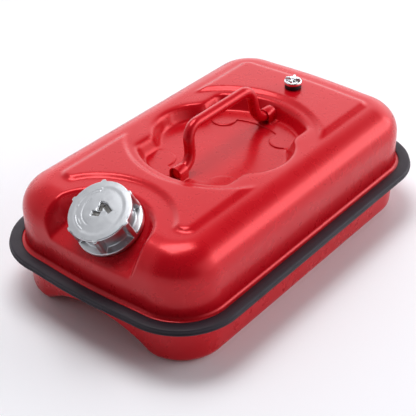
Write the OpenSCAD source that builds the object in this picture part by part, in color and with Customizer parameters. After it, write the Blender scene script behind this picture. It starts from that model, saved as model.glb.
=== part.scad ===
// Flat steel fuel can: two pressed half shells joined at a flange, a bail handle in a round
// dish, a slanted screw cap in the front recess and a vent screw at the back of the deck.
// Millimetres, +Z up, front (cap end) at -Y, origin at the middle of the base.

/* [Body] */
// Width over the shell walls
body_w = 188; // [170:1:200]
// Length over the shell walls
body_l = 311; // [301:1:331]
// Corner radius of the walls in plan
corner_r = 38.5; // [36.5:0.5:48]
// Height of the plain deck
deck_z = 97.5; // [94:0.5:110]
// Radius of the shoulder between deck and walls
shoulder_r = 25; // [18:1:26]
// Rise of the stiffening panels above the plain deck
panel_rise = 2.5; // [1.5:0.5:4]
// Sheet thickness of the shells
sheet = 1; // [0.8:0.1:1.2]

/* [Seam] */
// Height of the joint between the two flanges
seam_z = 43; // [38:1:46]
// Width of both flanges beyond the walls
flange_w = 12; // [12:0.5:13]
// Thickness of the rubber edging
edging_t = 5; // [4:0.5:6]

/* [Carry handle] */
// Rod diameter of the bail
rod_d = 9.2; // [8.4:0.2:9.6]
// Height of the grip's centre line above the pivot
grip_rise = 30.5; // [29.5:0.5:34]
// Half length of the grip, corner to corner of its centre line
grip_half = 40.5; // [38.5:0.5:41]
// Lean of the legs towards the grip, in degrees
leg_lean = 4.5; // [3:0.5:7]
// Swing of the bail from upright at rest, in degrees
rest_swing = -9; // [-12:1:0]
// Depth of the dish below the plain deck
dish_depth = 13.5; // [12:0.5:15]

/* [Filler] */
// Lean of the filler towards the front, in degrees
lean = 29; // [27:1:31]
// Radius of the cap's base rim
cap_r = 27; // [26.5:0.5:28]
// Height of the cap
cap_h = 22.9; // [22.4:0.1:24]
// Outside radius of the neck
neck_r = 18.2; // [17.5:0.1:18.2]
// Bore radius of the neck
neck_bore_r = 16.2; // [14:0.1:16.2]

/* [Vent] */
// Radius of the vent screw's head
vent_r = 7.7; // [7:0.1:9]
// Radius of the vent screw's shank
vent_shank_r = 3; // [2.5:0.1:3.2]

/* [Hidden] */
$fn = 96;
half_w = body_w / 2;
half_l = body_l / 2;
root_r = 3.5;
dish_y = 6;
dish_r = 71;
dish_flat = 47;
dish_slope = 5;
bulge_r = 41.6;
bulge_reach = 62;
dish_over = 10;
dish_z = deck_z - dish_depth;
panel_half = 64;
panel_front = -118;
panel_back = 124;
panel_corner = 7;
panel_arc_r = 79;
panel_sink = 6;
panel_z = deck_z + panel_rise;
cap_arc_y = -147;
cap_arc_r = 60.3;
recess_y = -141;
recess_low_r = 34.5;
recess_high_r = 45.5;
recess_side = 37;
recess_corner = 41;
recess_z = 60;
recess_span = 50;
recess_reach = 160;
recess_front = half_l + 20;
neck_y = -128;
neck_z = 83.7;
neck_top = 17.5;
neck_foot = -3.5;
collar_r = 22.5;
collar_h = 2.2;
groove = 0.7;
groove_w = 1.4;
groove_rows = [6, 9, 12];
neck_fit = 0.1;
cut = 20;
cap_low = 0.4;
cap_core_r = 21.6;
cap_bore_r = 18.6;
cap_disc_r = 25.4;
cap_disc_t = 3.2;
cap_rim_t = 4.2;
cap_skirt_r = 24;
cap_skirt_top = 2.9;
cap_roof = 20.2;
lug_r = 27.2;
lug_w = 5.4;
lug_step = 0.2;
lug_bevel = 0.6;
key_depth = 1.6;
key_bars = [[-0.9, -3.2, 17, 7, 4.4], [-0.5, 3.4, 15, 3.8, 8], [5, 4, -22, 9.4, 4.4]];
gasket_low = 17.8;
gasket_t = 2.1;
gasket_hole_r = 13.5;
pivot_clear = 2.4;
handle_y = 8.5;
rod_r = rod_d / 2;
pivot_z = dish_z + rod_r + pivot_clear;
rod_end = 61;
foot_bend = 13;
grip_bend = 11.5;
loop_fit = 0.4;
knuckle = 0.03;
loop_low = 53;
loop_high = 63;
saddle_r = 64.5;
saddle_side = 41.5;
saddle_band = 50;
saddle_inner = 30;
lobe_x = 30.5;
lobe_y = 40;
lobe_r = 11;
vent_y = 104;
bush_r = 7;
bush_h = 8;
washer_r = 7.2;
washer_h = 4;
vent_gap = 0.3;
vent_fit = 0.4;
head_h = 3;
fin_h = 3;
fin_t = 2;
fin_reach = 6.6;
shank_foot = 10;
base_rise = 2;
base_half = 62;
base_front = -88;
base_back = 124;
base_corner = 20;
base_draft = 1.5;
base_bend = 7.5;
arch_top = 20;
arch_r = 80;
arch_back = -108;
edging_lip = 0.8;
edging_lip_t = 1.2;
edging_cover = 7.7;
edging_skin = 2;
past = 1;

// ---------- shapes used by several nodes ----------

// Follows the rounded wall line with the 2D section given as children: section x = 0 is the
// centre of a corner, x = r is the wall, section y is height.
module edge_ring(hw, hl, r) {
  for (quarter = [[1, 1, 0], [-1, 1, 90], [-1, -1, 180], [1, -1, 270]])
    translate([quarter[0] * (hw - r), quarter[1] * (hl - r), 0])
      rotate([0, 0, quarter[2]]) rotate_extrude(angle = 90) children();
  for (turn = [0, 180])
    rotate([0, 0, turn]) {
      translate([hw - r, hl - r, 0])
        rotate([90, 0, 0]) linear_extrude(2 * (hl - r)) children();
      translate([-(hw - r), hl - r, 0])
        rotate([90, 0, 90]) linear_extrude(2 * (hw - r)) children();
    }
}

module middle_block(hw, hl, r, low, high) {
  translate([-(hw - r), -(hl - r), low]) cube([2 * (hw - r), 2 * (hl - r), high - low]);
}

module round_rect(hw, y_low, y_high, r) {
  translate([-hw + r, y_low]) square([2 * (hw - r), y_high - y_low]);
  translate([-hw, y_low + r]) square([2 * hw, y_high - y_low - 2 * r]);
  for (x = [-hw + r, hw - r], y = [y_low + r, y_high - r]) translate([x, y]) circle(r);
}

module at_neck() {
  translate([0, neck_y, neck_z]) rotate([lean, 0, 0]) children();
}

module tube(r_out, r_in, low, high) {
  difference() {
    translate([0, 0, low]) cylinder(h = high - low, r = r_out);
    translate([0, 0, low - past]) cylinder(h = high - low + 2 * past, r = r_in);
  }
}

// Both shells end in the same flange with a small concave bend at its root.
module flange_section(low) {
  translate([corner_r - sheet, low]) square([sheet + flange_w, sheet]);
}

module root_section(low, circle_z) {
  difference() {
    translate([corner_r - sheet / 2, low]) square([root_r + sheet / 2, root_r]);
    translate([corner_r + root_r, circle_z]) circle(root_r);
  }
}

// ---------- upper shell ----------

module upper_section(r, low, top, bend) {
  translate([0, low]) square([r, top - bend - low]);
  translate([0, low]) square([r - bend, top - low]);
  translate([r - bend, top - bend]) intersection() {
    circle(bend);
    square(bend);
  }
}

module raised_panels(inset) {
  translate([0, 0, deck_z - panel_sink - inset]) linear_extrude(panel_sink + panel_rise)
    difference() {
      round_rect(panel_half - inset, panel_front, panel_back - inset, panel_corner);
      translate([0, dish_y]) circle(panel_arc_r + inset);
      translate([0, cap_arc_y]) circle(cap_arc_r + inset);
    }
}

// Dish for the folded handle: a round tapered well with two flats, widened at the sides.
module dish_void(grow) {
  slope = dish_slope / dish_depth;
  span = dish_depth + dish_over + grow;
  widen = span * slope;
  foot_r = dish_r - dish_slope + grow * (1 - slope);
  flat = dish_flat - dish_slope + grow * (1 - slope);
  side_r = bulge_r - dish_slope + grow * (1 - slope);
  translate([0, dish_y, dish_z - grow]) {
    intersection() {
      cylinder(h = span, r1 = foot_r, r2 = foot_r + widen);
      rotate([90, 0, 0]) linear_extrude(4 * dish_r, center = true)
        polygon([[-flat, 0], [flat, 0], [flat + widen, span], [-flat - widen, span]]);
    }
    for (side = [-1, 1])
      translate([side * (bulge_reach - bulge_r), 0, 0])
        cylinder(h = span, r1 = side_r, r2 = side_r + widen);
  }
}

// Slanted recess round the filler, open at the front wall.
module cap_void(grow) {
  intersection() {
    union() {
      translate([0, recess_y, recess_z])
        cylinder(h = recess_span, r1 = recess_low_r + grow, r2 = recess_high_r + grow);
      translate([0, 0, recess_z]) linear_extrude(recess_span)
        polygon([
          [-(recess_side + grow), recess_y], [-(recess_corner + grow), -half_l],
          [-(recess_corner + grow), -recess_front], [recess_corner + grow, -recess_front],
          [recess_corner + grow, -half_l], [recess_side + grow, recess_y]
        ]);
    }
    at_neck() translate([-recess_reach / 2, -recess_reach / 2, -grow])
      cube([recess_reach, recess_reach, recess_z]);
  }
}

module upper_form(inset, low) {
  difference() {
    union() {
      edge_ring(half_w - inset, half_l - inset, corner_r - inset)
        upper_section(corner_r - inset, low, deck_z - inset, shoulder_r - inset);
      middle_block(half_w - inset, half_l - inset, corner_r - inset, low, deck_z - inset);
      raised_panels(inset);
    }
    dish_void(inset);
    cap_void(inset);
  }
}

module upper_shell() {
  color("firebrick") difference() {
    union() {
      difference() {
        upper_form(0, seam_z);
        upper_form(sheet, seam_z - past);
      }
      edge_ring(half_w, half_l, corner_r) flange_section(seam_z);
      edge_ring(half_w, half_l, corner_r)
        root_section(seam_z + sheet, seam_z + sheet + root_r);
    }
    at_neck() cylinder(h = cut, r = neck_r + neck_fit, center = true);
    translate([0, vent_y, deck_z]) cylinder(h = cut, r = vent_shank_r + vent_fit, center = true);
  }
}

// ---------- lower shell ----------

module lower_section(r, low, top) {
  wall = r - base_draft;
  bend_z = base_bend;
  translate([0, low]) square([wall - base_bend + low, bend_z]);
  translate([wall - base_bend + low, bend_z]) circle(base_bend - low);
  polygon([[0, bend_z], [wall, bend_z], [r, seam_z], [r, top], [0, top]]);
}

module lower_form(inset, top) {
  difference() {
    union() {
      edge_ring(half_w - inset, half_l - inset, corner_r - inset)
        lower_section(corner_r - inset, inset, top);
      middle_block(half_w - inset, half_l - inset, corner_r - inset, inset, top);
    }
    translate([0, arch_back + inset, arch_top - arch_r])
      rotate([90, 0, 0]) cylinder(h = half_l, r = arch_r + inset);
    translate([0, 0, -past]) linear_extrude(base_rise + inset + past)
      round_rect(base_half + inset, base_front - inset, base_back + inset, base_corner);
  }
}

module lower_shell() {
  color("firebrick") {
    difference() {
      lower_form(0, seam_z);
      lower_form(sheet, seam_z + past);
    }
    edge_ring(half_w, half_l, corner_r) flange_section(seam_z - sheet);
    edge_ring(half_w, half_l, corner_r)
      root_section(seam_z - sheet - root_r, seam_z - sheet - root_r);
  }
}

// ---------- rubber edging ----------

module edging_section() {
  reach = corner_r + flange_w + edging_skin;
  difference() {
    union() {
      translate([reach - edging_lip - edging_cover - edging_skin, seam_z - edging_t / 2])
        square([edging_cover + edging_skin, edging_t]);
      translate([reach - edging_skin, seam_z - edging_t / 2])
        square([edging_skin, edging_lip_t]);
    }
    translate([0, seam_z - sheet]) square([corner_r + flange_w, 2 * sheet]);
  }
}

module rim_edging() {
  color("dimgray") edge_ring(half_w, half_l, corner_r) edging_section();
}

// ---------- filler ----------

module filler_neck() {
  color("indianred") at_neck() difference() {
    union() {
      translate([0, 0, neck_foot]) cylinder(h = neck_top - neck_foot, r = neck_r);
      cylinder(h = collar_h, r = collar_r);
    }
    translate([0, 0, neck_foot - past])
      cylinder(h = neck_top - neck_foot + 2 * past, r = neck_bore_r);
    for (low = groove_rows) tube(neck_r + past, neck_r - groove, low, low + groove_w);
  }
}

module cap_gasket() {
  color("black") at_neck()
    tube(neck_r, gasket_hole_r, gasket_low, gasket_low + gasket_t);
}

// Rib from the base rim up to a lug at the edge of the top disc.
module cap_lug() {
  translate([0, lug_w / 2, cap_low]) rotate([90, 0, 0]) linear_extrude(lug_w)
    polygon([
      [cap_skirt_r + lug_step, 0], [cap_r - lug_step, 0], [cap_r - lug_step, cap_rim_t],
      [lug_r, cap_h - past], [lug_r - lug_bevel, cap_h], [cap_core_r - past, cap_h],
      [cap_core_r - past, cap_rim_t - past]
    ]);
}

module filler_cap() {
  top = cap_low + cap_h;
  color("silver") at_neck() difference() {
    union() {
      translate([0, 0, cap_low]) cylinder(h = cap_rim_t, r = cap_r);
      translate([0, 0, cap_low]) cylinder(h = cap_h, r = cap_core_r);
      translate([0, 0, top - cap_disc_t]) cylinder(h = cap_disc_t, r = cap_disc_r);
      for (k = [0:5]) rotate([0, 0, 60 * k]) cap_lug();
    }
    translate([0, 0, cap_low - past]) cylinder(h = cap_roof - cap_low + past, r = cap_bore_r);
    translate([0, 0, cap_low - past]) cylinder(h = cap_skirt_top - cap_low + past, r = cap_skirt_r);
    translate([0, 0, top - key_depth]) linear_extrude(key_depth + past) key_pocket();
  }
}

// Three-legged key pocket in the top of the cap.
module key_pocket() {
  for (bar = key_bars)
    translate([bar[0], bar[1]]) rotate(bar[2]) square([bar[3], bar[4]], center = true);
}

// ---------- handle ----------

// Sheet saddle spot-welded to the dish, drawn for the rear; its loop holds a rod end.
// The handle's middle lies a little behind the dish's, by shift towards this loop.
module saddle(shift) {
  bore = rod_r + loop_fit;
  low = loop_low + shift;
  high = loop_high + shift;
  color("indianred") translate([0, dish_y, 0]) difference() {
    union() {
      translate([0, 0, dish_z]) linear_extrude(sheet) intersection() {
        circle(saddle_r);
        translate([-saddle_side, saddle_inner]) square([2 * saddle_side, saddle_r - saddle_inner + past]);
        union() {
          difference() {
            circle(saddle_r + past);
            circle(saddle_band);
          }
          for (side = [-1, 1]) translate([side * lobe_x, lobe_y]) circle(lobe_r);
        }
      }
      translate([0, high, pivot_z]) rotate([90, 0, 0])
        cylinder(h = high - low, r = bore + sheet);
      translate([-bore - sheet, low, dish_z])
        cube([2 * (bore + sheet), high - low, pivot_z - dish_z]);
    }
    translate([0, high + past, pivot_z]) rotate([90, 0, 0])
      cylinder(h = high - saddle_inner, r = bore);
    translate([-bore, saddle_inner, dish_z - past])
      cube([2 * bore, high - saddle_inner + past, pivot_z - dish_z + past]);
  }
}

module front_saddle() {
  translate([0, 2 * dish_y, 0]) rotate([0, 0, 180]) saddle(dish_y - handle_y);
}

module rear_saddle() {
  saddle(handle_y - dish_y);
}

// One bend of the rod in the YZ plane, about the origin; angles run from +Y towards +Z.
module rod_bend(r, from, sweep) {
  rotate([90, 0, 90]) rotate([0, 0, from]) rotate_extrude(angle = sweep)
    translate([r, 0]) circle(rod_r);
}

module rod_from(y, z, turn, length) {
  translate([0, y, z]) rotate([turn, 0, 0]) cylinder(h = length, r = rod_r);
}

// A sphere a hair thicker than the rod closes each joint between straight and bend.
module rod_joint(y, z) {
  translate([0, y, z]) sphere(rod_r + knuckle);
}

module carry_handle() {
  sweep = 90 - leg_lean;
  foot_half = grip_half + grip_rise * tan(leg_lean);
  foot_cut = foot_bend * tan(sweep / 2);
  grip_cut = grip_bend * tan(sweep / 2);
  leg_y = foot_half - foot_cut * sin(leg_lean);
  leg_z = foot_cut * cos(leg_lean);
  top_y = grip_half + grip_cut * sin(leg_lean);
  top_z = grip_rise - grip_cut * cos(leg_lean);
  color("indianred") translate([0, handle_y, pivot_z]) rotate([0, rest_swing, 0]) {
    for (side = [0, 1]) mirror([0, side, 0]) {
      rod_from(foot_half + foot_cut, 0, -90, rod_end - foot_half - foot_cut);
      rod_joint(foot_half + foot_cut, 0);
      translate([0, foot_half + foot_cut, foot_bend]) rod_bend(foot_bend, 270 - sweep, sweep);
      rod_joint(leg_y, leg_z);
      rod_from(leg_y, leg_z, leg_lean, norm([leg_y - top_y, leg_z - top_z]));
      rod_joint(top_y, top_z);
      translate([0, grip_half - grip_cut, grip_rise - grip_bend])
        rod_bend(grip_bend, leg_lean, sweep);
      rod_joint(grip_half - grip_cut, grip_rise);
    }
    rod_from(-grip_half + grip_cut, grip_rise, -90, 2 * (grip_half - grip_cut));
  }
}

// ---------- vent ----------

module vent_bush() {
  color("goldenrod") translate([0, vent_y, 0])
    tube(bush_r, vent_shank_r + vent_fit, panel_z - sheet - bush_h, panel_z - sheet);
}

module vent_washer() {
  color("black") translate([0, vent_y, 0])
    tube(washer_r, vent_shank_r + vent_fit, panel_z + vent_gap, panel_z + washer_h);
}

module vent_screw() {
  low = panel_z + washer_h + vent_gap;
  color("silver") translate([0, vent_y, 0]) {
    translate([0, 0, low]) cylinder(h = head_h, r = vent_r);
    translate([0, 0, panel_z - shank_foot])
      cylinder(h = shank_foot + washer_h + vent_gap + past, r = vent_shank_r);
    for (turn = [20, 110]) rotate([0, 0, turn])
      translate([-fin_reach, -fin_t / 2, low + past])
        cube([2 * fin_reach, fin_t, head_h + fin_h - past]);
  }
}

upper_shell();
lower_shell();
rim_edging();
filler_neck();
cap_gasket();
filler_cap();
front_saddle();
rear_saddle();
carry_handle();
vent_bush();
vent_washer();
vent_screw();
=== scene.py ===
"""Looks of the flat steel fuel can: finer meshes and materials in place of the CAD's nodes.

Lengths are millimetres up to mesh_object(), which scales to metres. Bumps, lights and camera are in metres.
"""
import math

import bmesh
import bpy
import numpy as np
from mathutils import Matrix, Vector


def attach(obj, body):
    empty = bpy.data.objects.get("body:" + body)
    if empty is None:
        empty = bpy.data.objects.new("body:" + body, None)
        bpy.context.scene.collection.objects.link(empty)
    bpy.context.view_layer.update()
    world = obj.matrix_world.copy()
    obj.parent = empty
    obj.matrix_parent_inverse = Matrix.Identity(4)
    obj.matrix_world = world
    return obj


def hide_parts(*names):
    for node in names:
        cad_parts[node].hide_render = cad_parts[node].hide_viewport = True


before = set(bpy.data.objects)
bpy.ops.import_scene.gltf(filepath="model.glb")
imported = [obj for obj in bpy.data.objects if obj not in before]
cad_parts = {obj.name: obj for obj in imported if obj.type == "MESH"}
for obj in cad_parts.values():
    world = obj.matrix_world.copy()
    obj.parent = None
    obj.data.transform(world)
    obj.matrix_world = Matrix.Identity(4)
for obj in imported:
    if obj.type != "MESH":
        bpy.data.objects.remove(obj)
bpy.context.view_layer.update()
MM = 0.001

# ---------- sizes, inside the CAD's ----------
HALF_W, HALF_L, CORNER = 94.0, 155.5, 38.5
MID_X, MID_Y = HALF_W - CORNER, HALF_L - CORNER
DECK_Z, SHOULDER = 97.5, 25.0
SHEET = 1.0
SEAM_Z, ROOT = 43.0, 3.5
FLANGE_STEPS = np.array([6.0, 8.5, 11.0])  # out from the wall
LOWER_WALL_TOP = SEAM_Z - SHEET - ROOT
BASE_DRAFT, BASE_BEND = 1.5, 7.5
HOLLOW_BOX, HOLLOW = (18, 62, 106, 20), 2.0
ARCH_TOP, ARCH_R, ARCH_HALF_W = 20.0, 80.0, 59.0
BOW = 2.5
PANEL_Z = 100.0
PANEL_BOX = (3, 64, 121, 7)  # like HOLLOW_BOX: the middle's y, half width, half length, corner radius
PANEL_DISH_R = 79.4  # where the panel stops short of the dish
PANEL_NOTCH_Y, PANEL_NOTCH_R = -147, 60.3  # and of the recess
DISH_Y, DISH_Z = 6.0, 84.0
WELL_R, WELL_HALF_W = 71, 47
DISH_SIDE_X, DISH_SIDE_R = 20.4, 41.6
RECESS_Y, RECESS_R = -141, 37.0
RECESS_REACH_Y = -90  # no part of the recess lies behind this
PIVOT_Z, HANDLE_Y, ROD = 91.0, 8.5, 4.6
REST_SWING = math.radians(-9)
LEAN = math.radians(29)
NECK = np.array([0.0, -128.0, 83.7])
VENT_Y = 104.0
NECK_HOLE_R, VENT_HOLE_R = 19.6, 4.2
# On the filler's own axes, with z = 0 on the recess floor.
NECK_BORE, NECK_R, COLLAR_R, NECK_TOP = 16.2, 18.2, 22.4, 17.5
CAP_LOW, CAP_TOP, CAP_ROOF = 0.4, 23.3, 20.2
CAP_BORE, CAP_SKIRT, CAP_SKIRT_TOP = 18.6, 24.0, 2.9
CAP_CORE, CAP_DISC, CAP_R = 21.6, 25.4, 27.0
# The key pocket's three legs: centre x and y, turn in degrees, length, width.
KEY_BARS = ((-0.9, -3.2, 17, 7.0, 4.4), (-0.5, 3.4, 15, 3.8, 8.0), (5.0, 4.0, -22, 9.4, 4.4))
# Plain raised arcs on the cap: radius, first and last angle.
CAP_ARCS = ((18.9, 118, 196), (18.9, 214, 262), (16.9, 122, 150), (16.9, 226, 250))
# The saddle plates as seen from the dish's centre: across, along and out from it.
LOBE_ACROSS, LOBE_ALONG, LOBE_R = 30.5, 40.0, 11.0
PLATE_IN, PLATE_OUT, PLATE_HALF_W, PLATE_ANGLE = 50.0, 64.3, 41.5, 52.0


# ---------- small maths ----------
def ramp(t, k=0.18):
    """0 below 0, 1 above 1, straight between, with both corners rounded."""
    return 0.5 * (1 + np.sqrt(t * t + k * k) - np.sqrt((t - 1) ** 2 + k * k))


def step(t):
    """0 below 0, 1 above 1, smooth between."""
    t = np.clip(t, 0, 1)
    return t * t * (3 - 2 * t)


def smin(a, b, k):
    """The lower of the two, with the corner between them rounded over k."""
    h = np.clip(0.5 + 0.5 * (b - a) / k, 0, 1)
    return b + (a - b) * h - k * h * (1 - h)


def smax(a, b, k):
    return -smin(-a, -b, k)


def soft_pos(a, k):
    """a where it is positive and 0 elsewhere, with a soft corner."""
    return 0.5 * (a + np.sqrt(a * a + k * k))


def sd_circle(x, y, cx, cy, r):
    return np.hypot(x - cx, y - cy) - r


def sd_box(x, y, cy, hx, hy, r):
    qx, qy = np.abs(x) - hx + r, np.abs(y - cy) - hy + r
    return np.hypot(np.maximum(qx, 0), np.maximum(qy, 0)) + np.minimum(np.maximum(qx, qy), 0) - r


def bowed(x, y):
    """The two short ends bow outwards a little: away from the middle they fall back, by BOW at most."""
    radius, start, length = 500.0, 60, 80.0
    back = x * x / (2 * radius)
    back = back / (1 + (back / BOW) ** 4) ** 0.25
    return y - np.sign(y) * back * step((np.abs(y) - start) / length)


def to_neck(points):
    """Points given on the filler's own axes, in the shared frame."""
    p = np.asarray(points, float)
    c, s = math.cos(LEAN), math.sin(LEAN)
    out = np.empty_like(p)
    out[..., 0] = p[..., 0]
    out[..., 1] = NECK[1] + p[..., 1] * c - p[..., 2] * s
    out[..., 2] = NECK[2] + p[..., 1] * s + p[..., 2] * c
    return out


# ---------- mesh helpers ----------
def mesh_object(name, verts, faces, materials):
    me = bpy.data.meshes.new(name)
    me.from_pydata([tuple(v) for v in np.asarray(verts, float) * MM], [], faces)
    me.validate()
    me.update()
    o = bpy.data.objects.new(name, me)
    bpy.context.scene.collection.objects.link(o)
    for m in materials:
        me.materials.append(m)
    me.polygons.foreach_set("use_smooth", [True] * len(me.polygons))
    return o


def finish_piece(o, body, slot_name, *nodes):
    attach(o, body)
    if nodes:
        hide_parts(*nodes)
    return o


def weld(o, distance=0.0005):
    """Joins doubled points and points the faces outwards."""
    bm = bmesh.new()
    bm.from_mesh(o.data)
    bmesh.ops.remove_doubles(bm, verts=bm.verts, dist=distance * MM)
    bmesh.ops.dissolve_degenerate(bm, dist=distance * MM, edges=bm.edges)
    bmesh.ops.recalc_face_normals(bm, faces=bm.faces)
    bm.to_mesh(o.data)
    bm.free()
    o.data.polygons.foreach_set("use_smooth", [True] * len(o.data.polygons))
    return o


def grid_faces(rows, cols, close_rows=False, close_cols=False, start=0):
    faces = []
    for i in range(rows if close_rows else rows - 1):
        for j in range(cols if close_cols else cols - 1):
            a, b = i * cols + j, i * cols + (j + 1) % cols
            c, d = ((i + 1) % rows) * cols + (j + 1) % cols, ((i + 1) % rows) * cols + j
            faces.append((start + a, start + b, start + c, start + d))
    return faces


def lathe(name, profile, segments, materials, place):
    """Turns a closed section of (radius, height) points round the Z axis, then moves it with place()."""
    p = np.asarray(profile, float)
    angles = np.linspace(0, 2 * math.pi, segments, endpoint=False)
    ring = [np.stack([p[:, 0] * math.cos(a), p[:, 0] * math.sin(a), p[:, 1]], 1) for a in angles]
    verts = place(np.concatenate(ring))
    return weld(mesh_object(name, verts, grid_faces(segments, len(p), True, True), materials))


def turned(x, y, angle):
    c, s = math.cos(angle), math.sin(angle)
    return x * c - y * s, x * s + y * c


def corner_arc(p, a, b, cut, r, steps):
    """Points of the arc of radius r that rounds corner p; a and b point along its two sides."""
    centre = p + (a + b) / np.linalg.norm(a + b) * math.hypot(cut, r)
    s, e = p + a * cut - centre, p + b * cut - centre
    turn = math.acos(max(-1, min(1, float(s @ e) / (r * r))))
    if s[0] * e[1] < s[1] * e[0]:
        turn = -turn
    return [centre + np.array(turned(s[0], s[1], turn * k / steps)) for k in range(steps + 1)]


def half_angle(a, b):
    """Half the angle between two unit vectors."""
    return 0.5 * math.acos(max(-1, min(1, float(a @ b))))


def rounded(points, radii, steps=5):
    """A closed outline with each corner replaced by an arc of its radius."""
    pts = [np.array(p, float) for p in points]
    out = []
    for i, p in enumerate(pts):
        r = radii[i] if hasattr(radii, "__len__") else radii
        a, b = pts[i - 1] - p, pts[(i + 1) % len(pts)] - p
        la, lb = np.linalg.norm(a), np.linalg.norm(b)
        a, b = a / la, b / lb
        half = half_angle(a, b)
        if r <= 0 or half > math.pi / 2 - 0.02:
            out.append(p)
            continue
        cut = min(r / math.tan(half), 0.49 * la, 0.49 * lb)
        out += corner_arc(p, a, b, cut, cut * math.tan(half), steps)
    return np.array(out)


def resample(e, z, count, blur):
    """Even points along each row's line (e, z), softened over a length of blur."""
    rows, fine = e.shape[0], 320
    oe, oz = np.empty((rows, count)), np.empty((rows, count))
    for i in range(rows):
        length = np.concatenate([[0], np.cumsum(np.hypot(np.diff(e[i]), np.diff(z[i])))])
        s = np.linspace(0, length[-1], fine)
        fe, fz = np.interp(s, length, e[i]), np.interp(s, length, z[i])
        spacing = length[-1] / fine
        w = max(1, int(round(3 * blur / spacing)))
        kernel = np.exp(-0.5 * (np.arange(-w, w + 1) * spacing / blur) ** 2)
        kernel /= kernel.sum()
        for f in (fe, fz):
            head, tail = 2 * f[0] - f[w:0:-1], 2 * f[-1] - f[-2:-w - 2:-1]
            f[:] = np.convolve(np.concatenate([head, f, tail]), kernel, "valid")
        t = np.linspace(0, length[-1], count)
        oe[i], oz[i] = np.interp(t, s, fe), np.interp(t, s, fz)
    return oe, oz


# ---------- the shells' common layout: a grid in the middle, rings out to the wall ----------
class Layout:
    """Points p on the middle rectangle's edge, their outward directions n, and the grid point each joins."""

    def __init__(self, xs, ys, fan):
        self.xs, self.ys = np.asarray(xs), np.asarray(ys)
        nx, ny = len(xs), len(ys)
        rows = []
        hx, hy = xs[-1], ys[-1]
        for i in range(nx):
            rows.append((xs[i], -hy, 0, -1, i))
        self._fan(rows, hx, -hy, -90, fan, nx - 1)
        for j in range(ny):
            rows.append((hx, ys[j], 1, 0, j * nx + nx - 1))
        self._fan(rows, hx, hy, 0, fan, ny * nx - 1)
        for i in reversed(range(nx)):
            rows.append((xs[i], hy, 0, 1, (ny - 1) * nx + i))
        self._fan(rows, -hx, hy, 90, fan, (ny - 1) * nx)
        for j in reversed(range(ny)):
            rows.append((-hx, ys[j], -1, 0, j * nx))
        self._fan(rows, -hx, -hy, 180, fan, 0)
        a = np.array(rows)
        self.p, self.n, self.base = a[:, :2], a[:, 2:4], a[:, 4].astype(int)
        self.grid_x, self.grid_y = (g.ravel() for g in np.meshgrid(self.xs, self.ys))

    @staticmethod
    def _fan(rows, cx, cy, start, count, index):
        for k in range(1, count):
            t = math.radians(start + 90.0 * k / count)
            rows.append((cx, cy, math.cos(t), math.sin(t), index))

    def at(self, e):
        """Plan positions of the points that lie e outside the middle rectangle, a row for each station."""
        return self.p[:, :1] + self.n[:, :1] * e, self.p[:, 1:] + self.n[:, 1:] * e

    def build(self, name, grid_z, e, z, materials):
        nx, ny = len(self.xs), len(self.ys)
        x, y = self.at(e[:, 1:])
        count = x.shape[1]
        gx, gy = self.grid_x, bowed(self.grid_x, self.grid_y)
        ring = np.stack([x, bowed(x, y), z[:, 1:]], 2).reshape(-1, 3)
        verts = np.concatenate([np.stack([gx, gy, grid_z], 1), ring])
        faces = grid_faces(ny, nx)
        start, n = nx * ny, len(self.p)
        for s in range(n):
            t = (s + 1) % n
            a, b = start + s * count, start + t * count
            if self.base[s] == self.base[t]:
                faces.append((self.base[s], a, b))
            else:
                faces.append((self.base[s], a, b, self.base[t]))
            for k in range(count - 1):
                faces.append((a + k, a + k + 1, b + k + 1, b + k))
        return mesh_object(name, verts, faces, materials)


def drop_faces(o, test):
    """Deletes the faces whose centre, in millimetres, passes the test."""
    bm = bmesh.new()
    bm.from_mesh(o.data)
    bm.faces.ensure_lookup_table()
    gone = [f for f in bm.faces if test(f.calc_center_median() / MM)]
    bmesh.ops.delete(bm, geom=gone, context="FACES")
    bm.to_mesh(o.data)
    bm.free()


def thicken(o, mm):
    """Gives a surface its sheet's thickness, inwards."""
    m = o.modifiers.new("sheet", "SOLIDIFY")
    m.thickness = mm * MM
    m.offset = -1
    m.use_even_offset = False
    return o


# ---------- materials ----------
def nodes_of(name):
    """A new material with only a Principled shader."""
    m = bpy.data.materials.new(name)
    m.use_nodes = True
    nt = m.node_tree
    nt.nodes.clear()
    out = nt.nodes.new("ShaderNodeOutputMaterial")
    bsdf = nt.nodes.new("ShaderNodeBsdfPrincipled")
    nt.links.new(bsdf.outputs[0], out.inputs[0])
    return m, nt, bsdf


def noise(nt, scale, detail=3.0, rough=0.5):
    coord = nt.nodes.new("ShaderNodeTexCoord")
    tex = nt.nodes.new("ShaderNodeTexNoise")
    tex.inputs["Scale"].default_value = scale
    tex.inputs["Detail"].default_value = detail
    tex.inputs["Roughness"].default_value = rough
    nt.links.new(coord.outputs["Object"], tex.inputs[0])
    return tex.outputs["Fac"]


def spread(nt, value, low, high, out_low, out_high):
    """Maps value from low..high to out_low..out_high, clamped."""
    m = nt.nodes.new("ShaderNodeMapRange")
    nt.links.new(value, m.inputs["Value"])
    m.inputs["From Min"].default_value, m.inputs["From Max"].default_value = low, high
    m.inputs["To Min"].default_value, m.inputs["To Max"].default_value = out_low, out_high
    return m.outputs[0]


def blend_colour(nt, factor, a, b):
    """Mixes a, a colour or a socket, with the colour b."""
    m = nt.nodes.new("ShaderNodeMix")
    m.data_type = "RGBA"
    nt.links.new(factor, m.inputs[0])
    if hasattr(a, "is_linked"):
        nt.links.new(a, m.inputs[6])
    else:
        m.inputs[6].default_value = (*a, 1)
    m.inputs[7].default_value = (*b, 1)
    return m.outputs[2]


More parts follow.
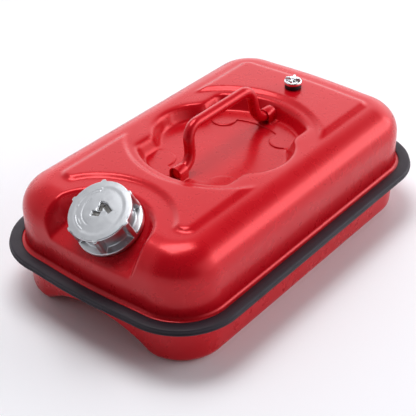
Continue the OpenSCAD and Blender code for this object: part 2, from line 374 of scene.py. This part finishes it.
def bump(nt, bsdf, heights):
    """heights: (value, distance in metres, strength) from the coarsest to the finest."""
    last = None
    for value, distance, strength in heights:
        b = nt.nodes.new("ShaderNodeBump")
        b.inputs["Strength"].default_value = strength
        b.inputs["Distance"].default_value = distance
        nt.links.new(value, b.inputs["Height"])
        if last is not None:
            nt.links.new(last, b.inputs["Normal"])
        last = b.outputs[0]
    nt.links.new(last, bsdf.inputs["Normal"])


def red_paint(name):
    m, nt, bsdf = nodes_of(name)
    cloud = spread(nt, noise(nt, 9, 4, 0.6), 0.35, 0.65, 0, 1)
    fleck = spread(nt, noise(nt, 900, 2), 0.4, 0.7, 0, 0.08)
    body = blend_colour(nt, cloud, (0.560, 0.0016, 0.0085), (0.590, 0.0022, 0.0105))
    nt.links.new(blend_colour(nt, fleck, body, (0.70, 0.02, 0.03)), bsdf.inputs["Base Color"])
    nt.links.new(spread(nt, noise(nt, 60, 5, 0.6), 0.3, 0.7, 0.25, 0.31), bsdf.inputs["Roughness"])
    bsdf.inputs["Metallic"].default_value = 0.24
    bsdf.inputs["Specular IOR Level"].default_value = 0.24
    bsdf.inputs["IOR"].default_value = 1.46
    bsdf.inputs["Coat Weight"].default_value = 0.25
    bsdf.inputs["Coat Roughness"].default_value = 0.16
    peel, fine = noise(nt, 420, 2, 0.5), noise(nt, 1500, 2, 0.5)
    bump(nt, bsdf, [(peel, 0.00002, 0.06), (fine, 0.00001, 0.05)])
    return m


def black_rubber(name, light):
    m, nt, bsdf = nodes_of(name)
    cloud = spread(nt, noise(nt, 30, 4, 0.6), 0.3, 0.7, 0, 1)
    dark, pale = (0.014, 0.009, 0.015), (0.022, 0.015, 0.024)
    body = blend_colour(nt, cloud, tuple(c * light for c in dark), tuple(c * light for c in pale))
    nt.links.new(body, bsdf.inputs["Base Color"])
    nt.links.new(spread(nt, noise(nt, 90, 4, 0.6), 0.3, 0.7, 0.46, 0.58), bsdf.inputs["Roughness"])
    bsdf.inputs["IOR"].default_value = 1.38
    bump(nt, bsdf, [(noise(nt, 700, 3, 0.6), 0.00006, 0.4)])
    return m


def cast_metal(name, rough=(0.27, 0.36), tint=(0.62, 0.635, 0.66)):
    m, nt, bsdf = nodes_of(name)
    cloud = spread(nt, noise(nt, 70, 4, 0.6), 0.3, 0.7, 0, 1)
    dark = tuple(c * 0.93 for c in tint)
    nt.links.new(blend_colour(nt, cloud, dark, tint), bsdf.inputs["Base Color"])
    bsdf.inputs["Metallic"].default_value = 1.0
    nt.links.new(spread(nt, noise(nt, 260, 4, 0.65), 0.3, 0.7, *rough), bsdf.inputs["Roughness"])
    bump(nt, bsdf, [(noise(nt, 260, 3, 0.6), 0.00005, 0.10), (noise(nt, 1700, 2, 0.5), 0.00002, 0.12)])
    return m


def brass(name):
    m, nt, bsdf = nodes_of(name)
    cloud = spread(nt, noise(nt, 200, 4, 0.6), 0.3, 0.7, 0, 1)
    nt.links.new(blend_colour(nt, cloud, (0.50, 0.33, 0.12), (0.72, 0.52, 0.22)), bsdf.inputs["Base Color"])
    bsdf.inputs["Metallic"].default_value = 1.0
    nt.links.new(spread(nt, noise(nt, 300, 3), 0.3, 0.7, 0.25, 0.42), bsdf.inputs["Roughness"])
    bump(nt, bsdf, [(noise(nt, 900, 2), 0.00003, 0.3)])
    return m


RED = red_paint("red_enamel")
RUBBER = black_rubber("edging_rubber", 1.15)
SEAL = black_rubber("seal_rubber", 0.7)
CAST = cast_metal("cast_zinc")
# The dark, rougher zinc below is painted shade: it darkens the cap's key pocket, where the recess's shade
# falls, and is not a darker metal.
POCKET_SHADE = cast_metal("cast_zinc_painted_pocket_shade", (0.45, 0.6), (0.16, 0.155, 0.15))
PLATED = cast_metal("plated_zinc", (0.16, 0.24), (0.80, 0.80, 0.82))
BRASS = brass("turned_brass")


# ---------- upper shell ----------
def recess_floor(y):
    return NECK[2] + (y - NECK[1]) * math.tan(LEAN)


def recess_height(x, y):
    """Floor of the slanted filler recess, and the steep wall that rises outside its foot."""
    slope, soft, widen = 0.32, 1.5, 4 / 14.0
    ring = sd_circle(x, y, 0, RECESS_Y, RECESS_R)
    lane = np.abs(x) - (RECESS_R + np.maximum(0, RECESS_Y - y) * widen)
    out = np.where(y > RECESS_Y, ring, lane)
    return recess_floor(y) + soft_pos(out, soft) / slope


def deck_features(x, y):
    """Height over the deck of the raised panel and the sunken dish."""
    panel_corner, panel_slope = 3.0, 3.6
    panel = smax(sd_box(x, y, *PANEL_BOX), -sd_circle(x, y, 0, DISH_Y, PANEL_DISH_R), panel_corner)
    panel = smax(panel, -sd_circle(x, y, 0, PANEL_NOTCH_Y, PANEL_NOTCH_R), panel_corner)
    well_corner, dish_corner, dish_slope = 4.0, 5.0, 5.0
    well = smax(sd_circle(x, y, 0, DISH_Y, WELL_R), np.abs(x) - WELL_HALF_W, well_corner)
    sides = sd_circle(np.abs(x), y, DISH_SIDE_X, DISH_Y, DISH_SIDE_R)
    dish = smin(well, sides, dish_corner)
    raised = (PANEL_Z - DECK_Z) * ramp(0.5 - panel / panel_slope)
    return raised - (DECK_Z - DISH_Z) * ramp(-dish / dish_slope, 0.30)


def upper_surface(x, y, base):
    recess_corner = 11.0
    z = base + deck_features(x, y)
    return np.where(y < RECESS_REACH_Y, smin(z, recess_height(x, y), recess_corner), z)


def flange_line(side):
    """The bend at the wall's foot and the flange outside it; side is 1 for the upper shell, else -1."""
    a = np.radians(np.linspace(180, 180 + side * 90, 8))
    e = np.concatenate([CORNER + ROOT + ROOT * np.cos(a), CORNER + FLANGE_STEPS])
    level = np.full(len(FLANGE_STEPS), SEAM_Z + side * SHEET)
    return e, np.concatenate([SEAM_Z + side * (SHEET + ROOT) + ROOT * np.sin(a), level])


def upper_line():
    """Deck, shoulder and wall before anything is pressed into them."""
    count, rim = 60, CORNER - SHOULDER
    flat = np.linspace(0, rim, count, endpoint=False)
    t = np.linspace(math.pi / 2, 0, 110)
    wall = np.linspace(DECK_Z - SHOULDER - 0.2, SEAM_Z + 7, count)
    e = np.concatenate([flat, rim + SHOULDER * np.cos(t), np.full(count, CORNER)])
    z = np.concatenate([np.full(count, DECK_Z), DECK_Z - SHOULDER + SHOULDER * np.sin(t), wall])
    return e, z


def press_upper(plan, e, z):
    """Presses the deck's features and the recess in; down the wall the line may not rise again."""
    no_limit = 999
    x, y = plan.at(e)
    top = upper_surface(x, y, z)
    limit = np.where(y < RECESS_REACH_Y, recess_height(x, y) - 1.0, no_limit)
    z = np.where(e < CORNER - 0.001, top, np.minimum(z, limit))
    steep = e >= CORNER - 1.0
    return np.minimum.accumulate(np.where(steep, z, no_limit), 1) * steep + z * ~steep


def opens_upper(c):
    """True at the neck's hole through the recess floor and the vent's hole through the deck."""
    d = np.array(c) - NECK
    axis = np.array([0, -math.sin(LEAN), math.cos(LEAN)])
    along = d @ axis
    near_neck = abs(along) < 6 and np.linalg.norm(d - along * axis) < NECK_HOLE_R
    return near_neck or (math.hypot(c[0], c[1] - VENT_Y) < VENT_HOLE_R and c[2] > DISH_Z)


def make_upper():
    # The grid is finest where the dish's straight sides drop.
    right = np.concatenate([np.arange(1, 30, 1.0), np.arange(30, 48.1, 0.6), np.linspace(49, MID_X, 7)])
    xs = np.concatenate([-right[::-1], [0], right])
    plan = Layout(xs, np.linspace(-MID_Y, MID_Y, 224), 40)
    grid_z = upper_surface(plan.grid_x, plan.grid_y, np.full(plan.grid_x.shape, DECK_Z))
    rows = len(plan.p)
    e, z = (np.tile(line, (rows, 1)) for line in upper_line())
    e, z = resample(e, press_upper(plan, e, z), 66, 1.1)
    e[:, 0], z[:, 0] = 0, grid_z[plan.base]
    low_e, low_z = (np.tile(line, (rows, 1)) for line in flange_line(1))
    e, z = np.concatenate([e, low_e], 1), np.concatenate([z, low_z], 1)
    o = plan.build("upper_shell_sheet", grid_z, e, z, [RED])
    drop_faces(o, opens_upper)
    thicken(o, SHEET)
    return finish_piece(o, "can", "red_paint", "upper_shell")


# ---------- lower shell ----------
def arch_height(x, y):
    """The front arch's height over the base, fading out behind it and to its sides."""
    rise = ARCH_TOP - ARCH_R + np.sqrt(np.maximum(ARCH_R ** 2 - x * x, 0))
    behind, beside = step((-y - 106) / 12.0), step((ARCH_HALF_W - np.abs(x)) / 8.0)
    return (soft_pos(rise, 3.0) - 0.15) * behind * beside


def base_height(x, y):
    """Height of the base's underside: the shallow hollow and the arch at the front."""
    return HOLLOW * ramp(0.5 - sd_box(x, y, *HOLLOW_BOX) / 4.0) + arch_height(x, y)


def lower_line():
    """Base, bend, drafted wall and flange before the hollow and the arch are pressed in."""
    count, foot = 34, CORNER - BASE_DRAFT - BASE_BEND
    flat = np.linspace(0, foot, count, endpoint=False)
    t = np.linspace(-math.pi / 2, 0, 12)
    wall = np.linspace(BASE_BEND, LOWER_WALL_TOP, 16)[1:]
    side = CORNER - BASE_DRAFT * (LOWER_WALL_TOP - wall) / (LOWER_WALL_TOP - BASE_BEND)
    edge_e, edge_z = (line[1:] for line in flange_line(-1))
    e = np.concatenate([flat, foot + BASE_BEND * np.cos(t), side, edge_e])
    z = np.concatenate([np.zeros(count), BASE_BEND + BASE_BEND * np.sin(t), wall, edge_z])
    return e, z


def make_lower():
    plan = Layout(np.linspace(-MID_X, MID_X, 70), np.linspace(-MID_Y, MID_Y, 110), 28)
    e, z = (np.tile(line, (len(plan.p), 1)) for line in lower_line())
    z = z + base_height(*plan.at(e)) * np.clip(1 - z / LOWER_WALL_TOP, 0, 1)
    o = plan.build("lower_shell_sheet", base_height(plan.grid_x, plan.grid_y), e, z, [RED])
    for f in o.data.polygons:
        f.flip()
    thicken(o, SHEET)
    return finish_piece(o, "can", "red_paint", "lower_shell")


# ---------- rubber edging ----------
def make_edging():
    plan = Layout(np.linspace(-MID_X, MID_X, 30), np.linspace(-MID_Y, MID_Y, 56), 26)
    # The strip's section, outwards from the wall and up from the seam.
    corners = [(3.4, 1.05), (3.5, 1.9), (5.4, 2.32), (8.5, 2.5), (12.0, 2.25), (13.15, 1.6), (13.25, -0.6),
               (13.95, -1.1), (14.0, -2.1), (13.3, -2.5), (8.5, -2.5), (3.6, -2.1), (3.4, -1.05),
               (11.6, -1.05), (11.6, 1.05)]
    radii = [0, 0.5, 3, 6, 2, 0.8, 0.4, 0.3, 0.4, 0.5, 4, 0.6, 0, 0.2, 0.2]
    section = rounded(corners, radii, 3) + np.array([CORNER, SEAM_Z])
    rows, count = len(plan.p), len(section)
    e = np.tile(section[:, 0], (rows, 1))
    x, y = plan.at(e)
    verts = np.stack([x, bowed(x, y), np.tile(section[:, 1], (rows, 1))], 2).reshape(-1, 3)
    o = mesh_object("rim_edging_strip", verts, grid_faces(rows, count, True, True), [RUBBER])
    weld(o)
    return finish_piece(o, "can", "edging", "rim_edging")


# ---------- filler ----------
def make_neck():
    # The section as (radius, height): bore, weld collar, then a groove for each turn of the thread.
    rows = [(NECK_BORE, -3.5), (NECK_R, -3.5), (NECK_R, 0), (COLLAR_R, 0), (22.2, 1.1), (20.8, 2.1),
            (NECK_R, 2.2)]
    radii = [0.3, 0.3, 0.3, 0.2, 0.6, 0.8, 0.6]
    for low in (6, 9, 12):
        rows += [(NECK_R, low), (17.5, low + 0.6), (17.5, low + 1.2), (NECK_R, low + 1.8)]
        radii += [0.2, 0.3, 0.3, 0.2]
    rows += [(NECK_R, NECK_TOP), (NECK_BORE, NECK_TOP)]
    radii += [0.5, 0.5]
    o = lathe("filler_neck_turned", rounded(rows, radii, 4), 96, [RED], to_neck)
    return finish_piece(o, "can", "red_paint", "filler_neck")


def sd_bar(x, y, cx, cy, turn, length, width, r=0.5):
    """Distance to a bar with rounded corners, turned about its centre by degrees."""
    u, v = turned(x - cx, y - cy, -math.radians(turn))
    qx, qy = np.abs(u) - length / 2 + r, np.abs(v) - width / 2 + r
    return np.hypot(np.maximum(qx, 0), np.maximum(qy, 0)) + np.minimum(np.maximum(qx, qy), 0) - r


def cap_face(x, y):
    """Height of the cap's top face: a shallow dish on a dome, the key pocket in its facet, and the arcs."""
    dome, dish, facet_depth, key_depth, line_depth = 0.9, 0.25, 0.35, 1.5, 0.16
    r, a = np.hypot(x, y), np.degrees(np.arctan2(y, x))
    z = CAP_TOP - dish * step((21.5 - r) / 3.5) - dome * (r / 25.0) ** 2
    from_groove = np.abs((a + 330) % 360 - 180)
    z = z - line_depth * np.exp(-(((r - 13.4) / 0.6) ** 2)) * step((60 - from_groove) / 12.0)
    facet = smax(sd_circle(x, y, 1.6, 0.6, 5.2), -(y + 6.5), 1.0)
    z = z - facet_depth * step(-facet / 2.5)
    for radius, start, stop in CAP_ARCS:
        inside = step((a % 360 - start) / 3.0) * step((stop - a % 360) / 3.0)
        z = z + line_depth * np.exp(-(((r - radius) / 0.5) ** 2)) * inside
    key = np.minimum.reduce([sd_bar(x, y, *bar) for bar in KEY_BARS])
    return z - key_depth * ramp(-key / 0.7, 0.15)


def cap_line(lug, ear):
    """The cap's line at one angle, from the roof of the bore down and round to the top face."""
    low, rim = CAP_LOW, CAP_TOP - 0.85
    core, upper = (CAP_CORE + (edge - CAP_CORE) * lug for edge in (26.6, 26.7))
    disc = CAP_DISC + 1.65 * ear
    return [(CAP_BORE, CAP_ROOF), (CAP_BORE, CAP_SKIRT_TOP), (CAP_SKIRT, CAP_SKIRT_TOP), (CAP_SKIRT, low),
            (CAP_R - 0.4, low), (CAP_R, low + 0.4), (CAP_R, low + 3.7), (CAP_R - 0.4, low + 4.2),
            (core, low + 4.4 + 0.6 * (1 - lug)), (upper, CAP_TOP - 3.6), (disc - 0.1, CAP_TOP - 3.1),
            (disc, CAP_TOP - 2.8), (disc, rim - 0.4), (disc - 0.5, rim)]


def cap_rings(a):
    """Rings of points at the angles a, from the bore's roof round the outside and in over the top face."""
    # Six ribs, each with a lug at the base and an ear at the disc.
    off = np.abs((np.degrees(a) + 30) % 60 - 30)
    across = np.radians(off) * CAP_R
    lines = [cap_line(lug, ear) for lug, ear in zip(step((3.1 - across) / 1.1), step((2.6 - across) / 1.6))]
    lines = np.array(lines, float)
    r, z = resample(lines[:, :, 0], lines[:, :, 1], 88, 0.28)
    r[:, 0], z[:, 0] = CAP_BORE, CAP_ROOF
    rings = [np.stack([r[:, k] * np.cos(a), r[:, k] * np.sin(a), z[:, k]], 1) for k in range(r.shape[1])]
    for part in np.linspace(1, 0.02, 58)[1:]:
        x, y = r[:, -1] * part * np.cos(a), r[:, -1] * part * np.sin(a)
        rings.append(np.stack([x, y, cap_face(x, y)], 1))
    return rings


def make_cap():
    segments = 300
    rings = cap_rings(np.linspace(0, 2 * math.pi, segments, endpoint=False))
    faces = grid_faces(len(rings), segments, False, True)
    middle_z = cap_face(np.array([0.0]), np.array([0.0]))[0]
    verts = np.concatenate(rings + [[[0, 0, middle_z], [0, 0, CAP_ROOF]]])
    last = (len(rings) - 1) * segments
    for k in range(segments):
        faces.append((last + k, last + (k + 1) % segments, len(verts) - 2))
        faces.append((k, (k + 1) % segments, len(verts) - 1))
    o = mesh_object("filler_cap_cast", to_neck(verts), faces, [CAST, POCKET_SHADE])
    # Faces in the key pocket take the second material, the pocket's painted shade.
    for f in o.data.polygons:
        heights = [verts[i][2] for i in f.vertices]
        reach = max(math.hypot(*verts[i][:2]) for i in f.vertices)
        in_pocket_shade = reach < 12 and CAP_TOP - 2.6 < min(heights) and max(heights) < CAP_TOP - 1.0
        f.material_index = int(in_pocket_shade)
    weld(o)
    return finish_piece(o, "cap", "cast_zinc", "filler_cap")


# ---------- carry handle and saddles ----------
def sweep(name, path, radius, materials, sides=32, end_round=0.8):
    """A round rod along points in the handle's plane at rest, with softened ends."""
    p = np.asarray(path, float)
    d = np.gradient(p, axis=0)
    d /= np.linalg.norm(d, axis=1)[:, None]
    side = np.array([math.cos(REST_SWING), 0, -math.sin(REST_SWING)])
    a = np.linspace(0, 2 * math.pi, sides, endpoint=False)
    rings = []

    def ring(centre, direction, r):
        up = np.cross(direction, side)
        rings.append(centre + r * (np.cos(a)[:, None] * side + np.sin(a)[:, None] * up))

    for t in (0, 25, 50, 75):
        q = math.radians(t)
        ring(p[0] + d[0] * end_round * (1 - math.cos(q)), d[0], radius - end_round * (1 - math.sin(q)))
    for i in range(1, len(p) - 1):
        ring(p[i], d[i], radius)
    for t in (75, 50, 25, 0):
        q = math.radians(t)
        ring(p[-1] - d[-1] * end_round * (1 - math.cos(q)), d[-1], radius - end_round * (1 - math.sin(q)))
    verts = np.concatenate(rings + [p[:1], p[-1:]])
    faces = grid_faces(len(rings), sides, False, True)
    last = (len(rings) - 1) * sides
    for k in range(sides):
        faces.append((k, (k + 1) % sides, len(verts) - 2))
        faces.append((last + k, last + (k + 1) % sides, len(verts) - 1))
    return weld(mesh_object(name, verts, faces, materials))


def handle_line():
    """The bail's centre line in its own plane: along the pivot line, and above it."""
    rise, half, end, splay = 30.5, 40.5, 61, math.radians(4.5)
    foot = half + rise * math.tan(splay)
    corners = [(-end, 0), (-foot, 0), (-half, rise), (half, rise), (foot, 0), (end, 0)]
    radii = [0, 13, 11.5, 11.5, 13, 0]
    pts = [np.array(c, float) for c in corners]
    line = [pts[0]]
    for i in range(1, len(pts) - 1):
        a, b = pts[i - 1] - pts[i], pts[i + 1] - pts[i]
        a, b = a / np.linalg.norm(a), b / np.linalg.norm(b)
        line += corner_arc(pts[i], a, b, radii[i] / math.tan(half_angle(a, b)), radii[i], 14)
    return np.array(line + [pts[-1]])


def make_handle():
    line = handle_line()
    length = np.concatenate([[0], np.cumsum(np.linalg.norm(np.diff(line, axis=0), axis=1))])
    s = np.linspace(0, length[-1], 150)
    y, z = np.interp(s, length, line[:, 0]), np.interp(s, length, line[:, 1])
    path = np.stack([z * math.sin(REST_SWING), HANDLE_Y + y, PIVOT_Z + z * math.cos(REST_SWING)], 1)
    o = sweep("carry_handle_rod", path, ROD, [RED])
    return finish_piece(o, "handle", "red_paint", "carry_handle")


def plate_span(phi):
    """Where the plate begins and ends, out from the dish's centre, at the angle phi from its middle."""
    inner = PLATE_IN
    reach, aside = math.hypot(LOBE_ACROSS, LOBE_ALONG), abs(phi) - math.atan2(LOBE_ACROSS, LOBE_ALONG)
    hit = LOBE_R ** 2 - (reach * math.sin(aside)) ** 2
    if hit > 0:
        inner = min(inner, reach * math.cos(aside) - math.sqrt(hit))
    outer = min(PLATE_OUT, PLATE_HALF_W / max(abs(math.sin(phi)), 1e-6))
    return inner, max(outer, inner + 0.05)


def saddle_plate():
    """Top and bottom of the lobed plate, as a grid in angle and width, about the dish's centre."""
    angles = np.radians(np.linspace(-PLATE_ANGLE, PLATE_ANGLE, 121))
    widths = np.concatenate([[0, 0.004, 0.02, 0.05], np.linspace(0.1, 0.9, 15), [0.95, 0.98, 0.996, 1]])
    edge = np.array([0, 0.55, 0.9, 1.0] + [1.0] * 15 + [1.0, 0.9, 0.55, 0])
    top, bottom = [], []
    for phi in angles:
        inner, outer = plate_span(phi)
        ends = step((PLATE_ANGLE - abs(math.degrees(phi))) / 0.8)
        for w, h in zip(widths, edge):
            r = inner + (outer - inner) * w
            row = (r * math.sin(phi), r * math.cos(phi))
            top.append((*row, DISH_Z + 0.05 + SHEET * h * ends))
            bottom.append((*row, DISH_Z - 0.3))
    n = len(top)
    rows, cols = len(angles), len(widths)
    faces = grid_faces(rows, cols) + [tuple(reversed(f)) for f in grid_faces(rows, cols, start=n)]
    loop = list(range(cols)) + [i * cols + cols - 1 for i in range(1, rows)]
    loop += [rows * cols - 2 - k for k in range(cols - 1)] + [i * cols for i in range(rows - 2, 0, -1)]
    for a, b in zip(loop, loop[1:] + loop[:1]):
        faces.append((a, b, b + n, a + n))
    return np.array(top + bottom), faces


def arc(cx, cy, r, start, stop, count):
    return [(cx + r * math.cos(t), cy + r * math.sin(t)) for t in np.radians(np.linspace(start, stop, count))]


def saddle_loop(shift):
    """The bent strip that holds a rod end: feet on the plate, then up and over the pivot line."""
    r, bend, foot_x, foot_z = 5.5, 1.8, 9.9, DISH_Z + 0.9
    near, far, half = 53 + shift, 63 + shift, SHEET / 2
    line = [(-foot_x, foot_z)] + arc(-r - bend, foot_z + bend, bend, -90, 0, 7)
    line += arc(0, PIVOT_Z, r, 180, 0, 25)
    line += arc(r + bend, foot_z + bend, bend, 180, 270, 7) + [(foot_x, foot_z)]
    p = np.array(line)
    d = np.gradient(p, axis=0)
    d /= np.linalg.norm(d, axis=1)[:, None]
    normal = np.stack([-d[:, 1], d[:, 0]], 1)
    section = rounded([(-half, near), (half, near), (half, far), (-half, far)], 0.3, 3)
    verts = []
    for centre, nrm in zip(p, normal):
        for off, y in section:
            verts.append((centre[0] + nrm[0] * off, y, centre[1] + nrm[1] * off))
    cols = len(section)
    faces = grid_faces(len(p), cols, False, True)
    faces.append(tuple(range(cols)))
    faces.append(tuple(reversed(range((len(p) - 1) * cols, len(p) * cols))))
    return np.array(verts), faces


def make_saddle(name, node, sign):
    plate, plate_faces = saddle_plate()
    loop, loop_faces = saddle_loop(sign * (HANDLE_Y - DISH_Y))
    n = len(plate)
    verts = np.concatenate([plate, loop])
    verts[:, :2] *= sign
    verts[:, 1] += DISH_Y
    faces = plate_faces + [tuple(n + i for i in f) for f in loop_faces]
    o = weld(mesh_object(name, verts, faces, [RED]))
    return finish_piece(o, "can", "red_paint", node)


# ---------- vent ----------
def at_vent(points):
    return points + np.array([0, VENT_Y, 0])


def make_bush_and_washer():
    bush = rounded([(3.4, 91), (7, 91), (7, 98.9), (4.9, 98.9), (4.9, 100.2), (3.4, 100.2)],
                   [0.3, 0.4, 0.4, 0.2, 0.3, 0.3], 3)
    o = lathe("vent_bush_turned", bush, 64, [BRASS], at_vent)
    finish_piece(o, "can", "brass", "vent_bush")
    washer = rounded([(3.4, 100.3), (7.2, 100.3), (7.2, 104), (3.4, 104)], [0.3, 0.5, 0.5, 0.3], 4)
    o = lathe("vent_washer_moulded", washer, 64, [SEAL], at_vent)
    finish_piece(o, "vent_seal", "seal", "vent_washer")


def make_fin(name, turn):
    """One wing of the screw's head, with its two long edges bevelled."""
    outline = rounded([(-6.7, 106.4), (6.7, 106.4), (6.7, 109.8), (3.2, 109.9), (1.2, 108.6), (-1.2, 108.6),
                       (-3.2, 109.9), (-6.7, 109.8)], [0, 0, 1.6, 1.5, 2, 2, 1.5, 1.6], 4)
    inward = np.array([0, 107.6]) - outline
    inward /= np.linalg.norm(inward, axis=1)[:, None]
    rows = []
    for side, shrink in ((-0.95, 0.25), (-0.7, 0.0), (0.7, 0.0), (0.95, 0.25)):
        q = outline + inward * shrink
        rows.append(np.stack([q[:, 0], np.full(len(q), side), q[:, 1]], 1))
    v = np.concatenate(rows)
    v[:, 0], v[:, 1] = turned(v[:, 0], v[:, 1], turn)
    n = len(outline)
    faces = grid_faces(4, n, False, True) + [tuple(range(n)), tuple(reversed(range(3 * n, 4 * n)))]
    finish_piece(weld(mesh_object(name, at_vent(v), faces, [PLATED])), "vent", "cast_zinc")


def make_vent():
    make_bush_and_washer()
    head = rounded([(0, 90.1), (3, 90.1), (3, 104.3), (7.5, 104.3), (7.7, 105.2), (7.7, 106.6), (7.2, 107.3),
                    (5.2, 107.3), (4.6, 106.9), (0, 106.9)], [0, 0.4, 0, 0.4, 0.6, 0.5, 0.5, 0.4, 0.4, 0], 4)
    o = lathe("vent_screw_head", head, 72, [PLATED], at_vent)
    finish_piece(o, "vent", "cast_zinc", "vent_screw")
    for k, turn in enumerate((20, 110)):
        make_fin(f"vent_screw_fin_{k}", math.radians(turn))


def dress_gasket():
    """The gasket keeps its CAD mesh and gets the seals' rubber."""
    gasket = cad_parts["cap_gasket"]
    gasket.data.materials.clear()
    gasket.data.materials.append(SEAL)
    for f in gasket.data.polygons:
        f.material_index = 0


make_upper()
make_lower()
make_edging()
make_neck()
make_cap()
make_handle()
make_saddle("rear_saddle_pressed", "rear_saddle", 1)
make_saddle("front_saddle_pressed", "front_saddle", -1)
make_vent()
dress_gasket()


# ---------- floor, light, camera ----------
def floor_material():
    m, nt, bsdf = nodes_of("studio_floor")
    cloud = spread(nt, noise(nt, 1.5, 2), 0.3, 0.7, 0, 1)
    body = blend_colour(nt, cloud, (0.92, 0.92, 0.955), (0.935, 0.935, 0.97))
    nt.links.new(body, bsdf.inputs["Base Color"])
    bsdf.inputs["Roughness"].default_value = 0.55
    bsdf.inputs["Specular IOR Level"].default_value = 0.25
    return m


def make_stage():
    half, count, drop = 6000, 13, 0.05
    reach = np.linspace(-half, half, count)
    x, y = (g.ravel() for g in np.meshgrid(reach, reach))
    verts = np.stack([x, y, np.full(x.shape, -drop)], 1)
    mesh_object("studio_floor", verts, grid_faces(count, count), [floor_material()])


def make_world():
    """Pale low down behind and up the left side, dim in front, to the right and overhead."""
    world = bpy.data.worlds.new("studio")
    bpy.context.scene.world = world
    world.use_nodes = True
    nt = world.node_tree
    coord, split = nt.nodes.new("ShaderNodeTexCoord"), nt.nodes.new("ShaderNodeSeparateXYZ")
    nt.links.new(coord.outputs["Generated"], split.inputs[0])

    def calc(kind, a, b):
        m = nt.nodes.new("ShaderNodeMath")
        m.operation = kind
        nt.links.new(a, m.inputs[0])
        nt.links.new(b, m.inputs[1])
        return m.outputs[0]

    low = spread(nt, split.outputs[2], 0.50, 0.70, 1.0, 0.0)
    behind = spread(nt, split.outputs[1], -0.35, 0.35, 0.04, 1.75)
    left = spread(nt, split.outputs[0], -0.20, -0.50, 0.08, 0.62)
    background = nt.nodes["Background"]
    background.inputs[0].default_value = (0.97, 0.97, 1.0, 1)
    nt.links.new(calc("MAXIMUM", calc("MULTIPLY", low, behind), left), background.inputs[1])


def area(name, location, target, size, energy):
    light = bpy.data.lights.new(name, "AREA")
    light.shape = "RECTANGLE"
    light.size, light.size_y = size
    light.energy = energy
    o = bpy.data.objects.new(name, light)
    bpy.context.scene.collection.objects.link(o)
    o.location = location
    o.rotation_mode = "QUATERNION"
    o.rotation_quaternion = (Vector(target) - Vector(location)).to_track_quat("-Z", "Y")


def make_camera():
    """Looks at target from az round from -Y towards +X and el above the floor, rolled about its axis."""
    az, el, roll = math.radians(39.65), math.radians(34.49), math.radians(-1.22)
    target, distance = Vector((-0.0060, -0.0076, 0.0314)), 0.9328
    back = Vector((math.sin(az) * math.cos(el), -math.cos(az) * math.cos(el), math.sin(el)))
    ahead = -back
    right = ahead.cross(Vector((0, 0, 1))).normalized()
    up = right.cross(ahead)
    r = right * math.cos(roll) + up * math.sin(roll)
    u = -right * math.sin(roll) + up * math.cos(roll)
    cam = bpy.data.cameras.new("camera")
    cam.lens, cam.sensor_width = 95.9, 36.0
    o = bpy.data.objects.new("camera", cam)
    bpy.context.scene.collection.objects.link(o)
    o.matrix_world = Matrix.Translation(target + back * distance) @ Matrix((r, u, back)).transposed().to_4x4()
    bpy.context.scene.camera = o


make_stage()
make_world()
area("overhead", (-0.24, 0.08, 1.40), (0, 0, 0.05), (0.85, 0.7), 13)
area("right_back", (1.05, 1.15, 0.62), (0, 0, 0.05), (1.4, 0.7), 8)
bpy.context.scene.view_settings.view_transform = "Standard"
make_camera()
